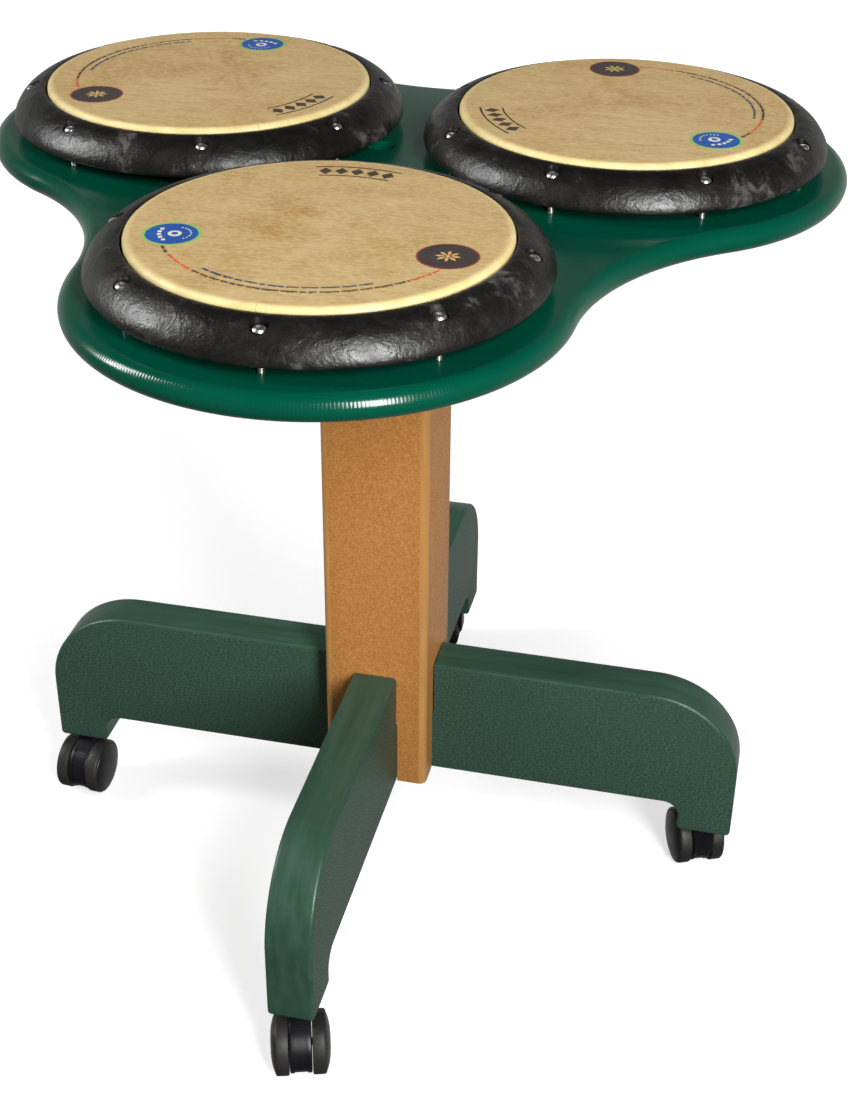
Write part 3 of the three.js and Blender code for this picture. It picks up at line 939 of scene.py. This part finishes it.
def caster_body():
    """Round cheek behind the stem with a shallow central channel; X is the axle, +Y trails."""
    up = WHEEL_R + BODY_R
    round_part = arc((TRAIL, WHEEL_R), BODY_R, 1.1 * math.pi, 2.35 * math.pi)
    outline = [*round_part, Vector((TRAIL + 1 * MM, up + 1.6 * MM)), Vector((9 * MM, 53.2 * MM)),
               Vector((-9 * MM, 53.2 * MM)), Vector((-9 * MM, 26 * MM))]
    cheek = slab(outline, -BODY_HALF, BODY_HALF, 1.2 * MM, steps=4)
    upright = Matrix(((0, 0, 1, 0), (1, 0, 0, 0), (0, 1, 0, 0), (0, 0, 0, 1)))
    cheek = moved(cheek, upright)
    channel = lathe([Vector(p) * MM for p in (
        (22.7, -5), (26, -5.6), (26, 5.6), (22.7, 5), (22.7, -5))], 96)
    to_axle = Matrix.Translation((0, TRAIL, WHEEL_R)) @ Matrix.Rotation(math.pi / 2, 4, "Y")
    keep_top = block(-0.05, 0.05, -0.05, 0.05, up - 1.5 * MM, 0.2)
    channel = carve(moved(channel, to_axle), keep_top)
    cheek = carve(cheek, channel)
    collar = lathe([Vector(p) * MM for p in (
        (0, 40), (8.5, 40), (8.5, 54.2), (7.9, 54.8), (5.5, 54.8), (5.5, 87), (4.6, 88), (0, 88))], 48)
    body = carve(cheek, collar, "UNION")
    bore = moved(rod(3.5 * MM, -0.02, 0.02), to_axle)
    return carve(body, bore)


def caster_wheel():
    """Wheel about Z with its outer face towards +Z: a grey tread on a black domed hub."""
    hub_inside = [(0, 21.2), (3.5, 21.2), (3.5, 9.4), (6.5, 9.4), (7, 9.9), (7, 12.5), (17.5, 12.5),
                  (18, 9.9), (18.4, 9.4), (21.6, 9.2)]
    tread = [(24.0, 9.2), (24.7, 9.6), (25, 10.4), (25, 17.8), (24.8, 18.8), (24.2, 19.6),
             (23.2, 20.1), (22.6, 20.2)]
    face = [(22.5, 19.8), (22.2, 19.8), (21.9, 20.4), (19, 21.5), (15, 22.5), (10, 23.2),
            (5, 23.45), (0, 23.5)]
    profile = [Vector(p) * MM for p in (*hub_inside, *tread, *face)]
    kinds = [0] * (len(hub_inside) - 1) + [1] * len(tread) + [0] * len(face)
    return lathe(profile, 128, kinds)


shared = {}
for place in PLACES:
    stem = Vector(joint(f"{place}_swivel")["pos_m"])
    hub = Vector(joint(f"{place}_wheel_a_spin")["pos_m"])
    trailing = (hub - stem).xy
    yaw = math.atan2(-trailing.x, trailing.y)
    to_caster = Matrix.Translation((stem.x, stem.y, 0)) @ Matrix.Rotation(yaw, 4, "Z")
    body = f"caster_{place}"
    made = piece(f"{place}_fork", shared.get("fork") or caster_body(), [NYLON], body,
                 [f"caster_{place}_body"], to_caster)
    shared["fork"] = made.data
    to_axle = to_caster @ Matrix.Translation((0, TRAIL, WHEEL_R)) @ Matrix.Rotation(math.pi / 2, 4, "Y")
    pin = [(0, -20.8), (2.6, -20.8), (3, -20.3), (3, 20.3), (2.6, 20.8), (0, 20.8)]
    made = piece(f"{place}_pin", shared.get("pin") or lathe([Vector(p) * MM for p in pin], 32), [ZINC], body,
                 [f"caster_{place}_axle"], to_axle)
    shared["pin"] = made.data
    for side in ("a", "b"):
        node = f"caster_{place}_wheel_{side}"
        local = to_caster.inverted() @ middle(node)
        turn = math.copysign(math.pi / 2, local.x)
        at = to_caster @ Matrix.Translation((0, TRAIL, WHEEL_R)) @ Matrix.Rotation(turn, 4, "Y")
        made = piece(f"{place}_roller_{side}", shared.get("wheel") or caster_wheel(), [HUB, TREAD],
                     f"{place}_wheel_{side}", [node], at)
        shared["wheel"] = made.data


# ---- stage, light and camera -----------------------------------------------------------
STAGE_R = 9
COVE_R = 3
WALL_H = 9
SKIN = 0.02
GLOW_REACH = (0.4, 2.6)  # the floor's own light grows between these distances from the middle
GLOW = (0.62, 0.97)


def stage():
    """A pale floor that curves up into a round wall. It lights nothing and no surface mirrors it."""
    cove = arc((STAGE_R - COVE_R, COVE_R), COVE_R, -math.pi / 2, 0)
    outside = [Vector((STAGE_R + SKIN, WALL_H)), Vector((STAGE_R + SKIN, -SKIN)), Vector((0, -SKIN))]
    bowl = lathe([(0, 0), *cove, (STAGE_R, WALL_H), *outside])
    floor = bpy.data.objects.new("floor", mesh_from(bowl, "floor"))
    paint = Paint("floor_paint", roughness=0.9, specular=0.1)
    tone = paint.ramp(paint.noise(2), (0.3, linear(180, 180, 180)), (0.7, linear(186, 186, 186)))
    paint.out("Base Color", tone)
    x, y, _ = paint.split(paint.place())
    away = paint.math("SQRT", paint.math("ADD", paint.math("MULTIPLY", x, x), paint.math("MULTIPLY", y, y)))
    paint.out("Emission Color", (1, 1, 1, 1))
    paint.out("Emission Strength", paint.range(away, *GLOW_REACH, *GLOW))
    floor.data.materials.append(paint.material)
    floor.visible_diffuse = False
    floor.visible_glossy = False
    bpy.context.scene.collection.objects.link(floor)


def softbox(name, azimuth, elevation, distance, size, power, mirrored=True, aim=(0, 0, 0.5)):
    """An area light at that bearing from the object; azimuth 0 is in front, 90 to the right."""
    light = bpy.data.lights.new(name, "AREA")
    light.shape = "RECTANGLE"
    light.size, light.size_y = size
    light.energy = power
    a, e = math.radians(azimuth), math.radians(elevation)
    way = Vector((math.sin(a) * math.cos(e), -math.cos(a) * math.cos(e), math.sin(e)))
    lamp = bpy.data.objects.new(name, light)
    lamp.location = Vector(aim) + way * distance
    lamp.rotation_mode = "QUATERNION"
    lamp.rotation_quaternion = way.to_track_quat("Z", "Y")
    lamp.visible_glossy = mirrored
    bpy.context.scene.collection.objects.link(lamp)


# Axis, where the fade starts and ends along it, and the strength at each end.
SKY_FADES = (("Z", 0.02, 0.58, 0.5, 0.03), ("Y", 0.0, 0.8, 0.15, 1.0))


def studio():
    """A pale sweep low behind the object, dimmer in front, under a dark ceiling."""
    world = bpy.data.worlds.new("studio")
    world.use_nodes = True
    nodes, links = world.node_tree.nodes, world.node_tree.links
    coordinates = nodes.new("ShaderNodeTexCoord")
    parts = nodes.new("ShaderNodeSeparateXYZ")
    links.new(coordinates.outputs["Generated"], parts.inputs[0])
    strength = nodes.new("ShaderNodeMath")
    strength.operation = "MULTIPLY"
    for index, (axis, start, end, first, last) in enumerate(SKY_FADES):
        fade = nodes.new("ShaderNodeMapRange")
        links.new(parts.outputs[axis], fade.inputs["Value"])
        for socket, number in (("From Min", start), ("From Max", end),
                               ("To Min", first), ("To Max", last)):
            fade.inputs[socket].default_value = number
        links.new(fade.outputs["Result"], strength.inputs[index])
    background = nodes["Background"]
    background.inputs["Color"].default_value = (1, 1, 1, 1)
    links.new(strength.outputs[0], background.inputs["Strength"])
    bpy.context.scene.world = world


def lights():
    softbox("right_box", 35, 24, 2.4, (0.5, 1.5), 96)
    softbox("left_box", -78, 29, 2.8, (0.55, 1.4), 62)
    softbox("rear_fill", 165, 25, 3.0, (1.5, 1.2), 30, mirrored=False)
    studio()
    bpy.context.scene.view_settings.view_transform = "Standard"


CAMERA_FROM_POST = Vector((0.3150, -1.2462, 1.0954))
CAMERA_AZIMUTH = math.radians(12.80)
CAMERA_PITCH = math.radians(31.91)
CAMERA_ROLL = math.radians(0.53)
CAMERA_LENS = 59.25


def camera():
    data = bpy.data.cameras.new("camera")
    data.lens = CAMERA_LENS
    data.clip_end = 50
    made = bpy.data.objects.new("camera", data)
    right = Vector((math.cos(CAMERA_AZIMUTH), math.sin(CAMERA_AZIMUTH), 0))
    level = Vector((math.sin(CAMERA_AZIMUTH), -math.cos(CAMERA_AZIMUTH), 0))
    back = level * math.cos(CAMERA_PITCH) + Vector((0, 0, math.sin(CAMERA_PITCH)))
    up = back.cross(right)
    x = right * math.cos(CAMERA_ROLL) + up * math.sin(CAMERA_ROLL)
    y = up * math.cos(CAMERA_ROLL) - right * math.sin(CAMERA_ROLL)
    place = Matrix.Translation((*(POST_AT.xy + CAMERA_FROM_POST.xy), CAMERA_FROM_POST.z))
    made.matrix_world = place @ Matrix((x, y, back)).transposed().to_4x4()
    bpy.context.scene.collection.objects.link(made)
    bpy.context.scene.camera = made


stage()
lights()
camera()
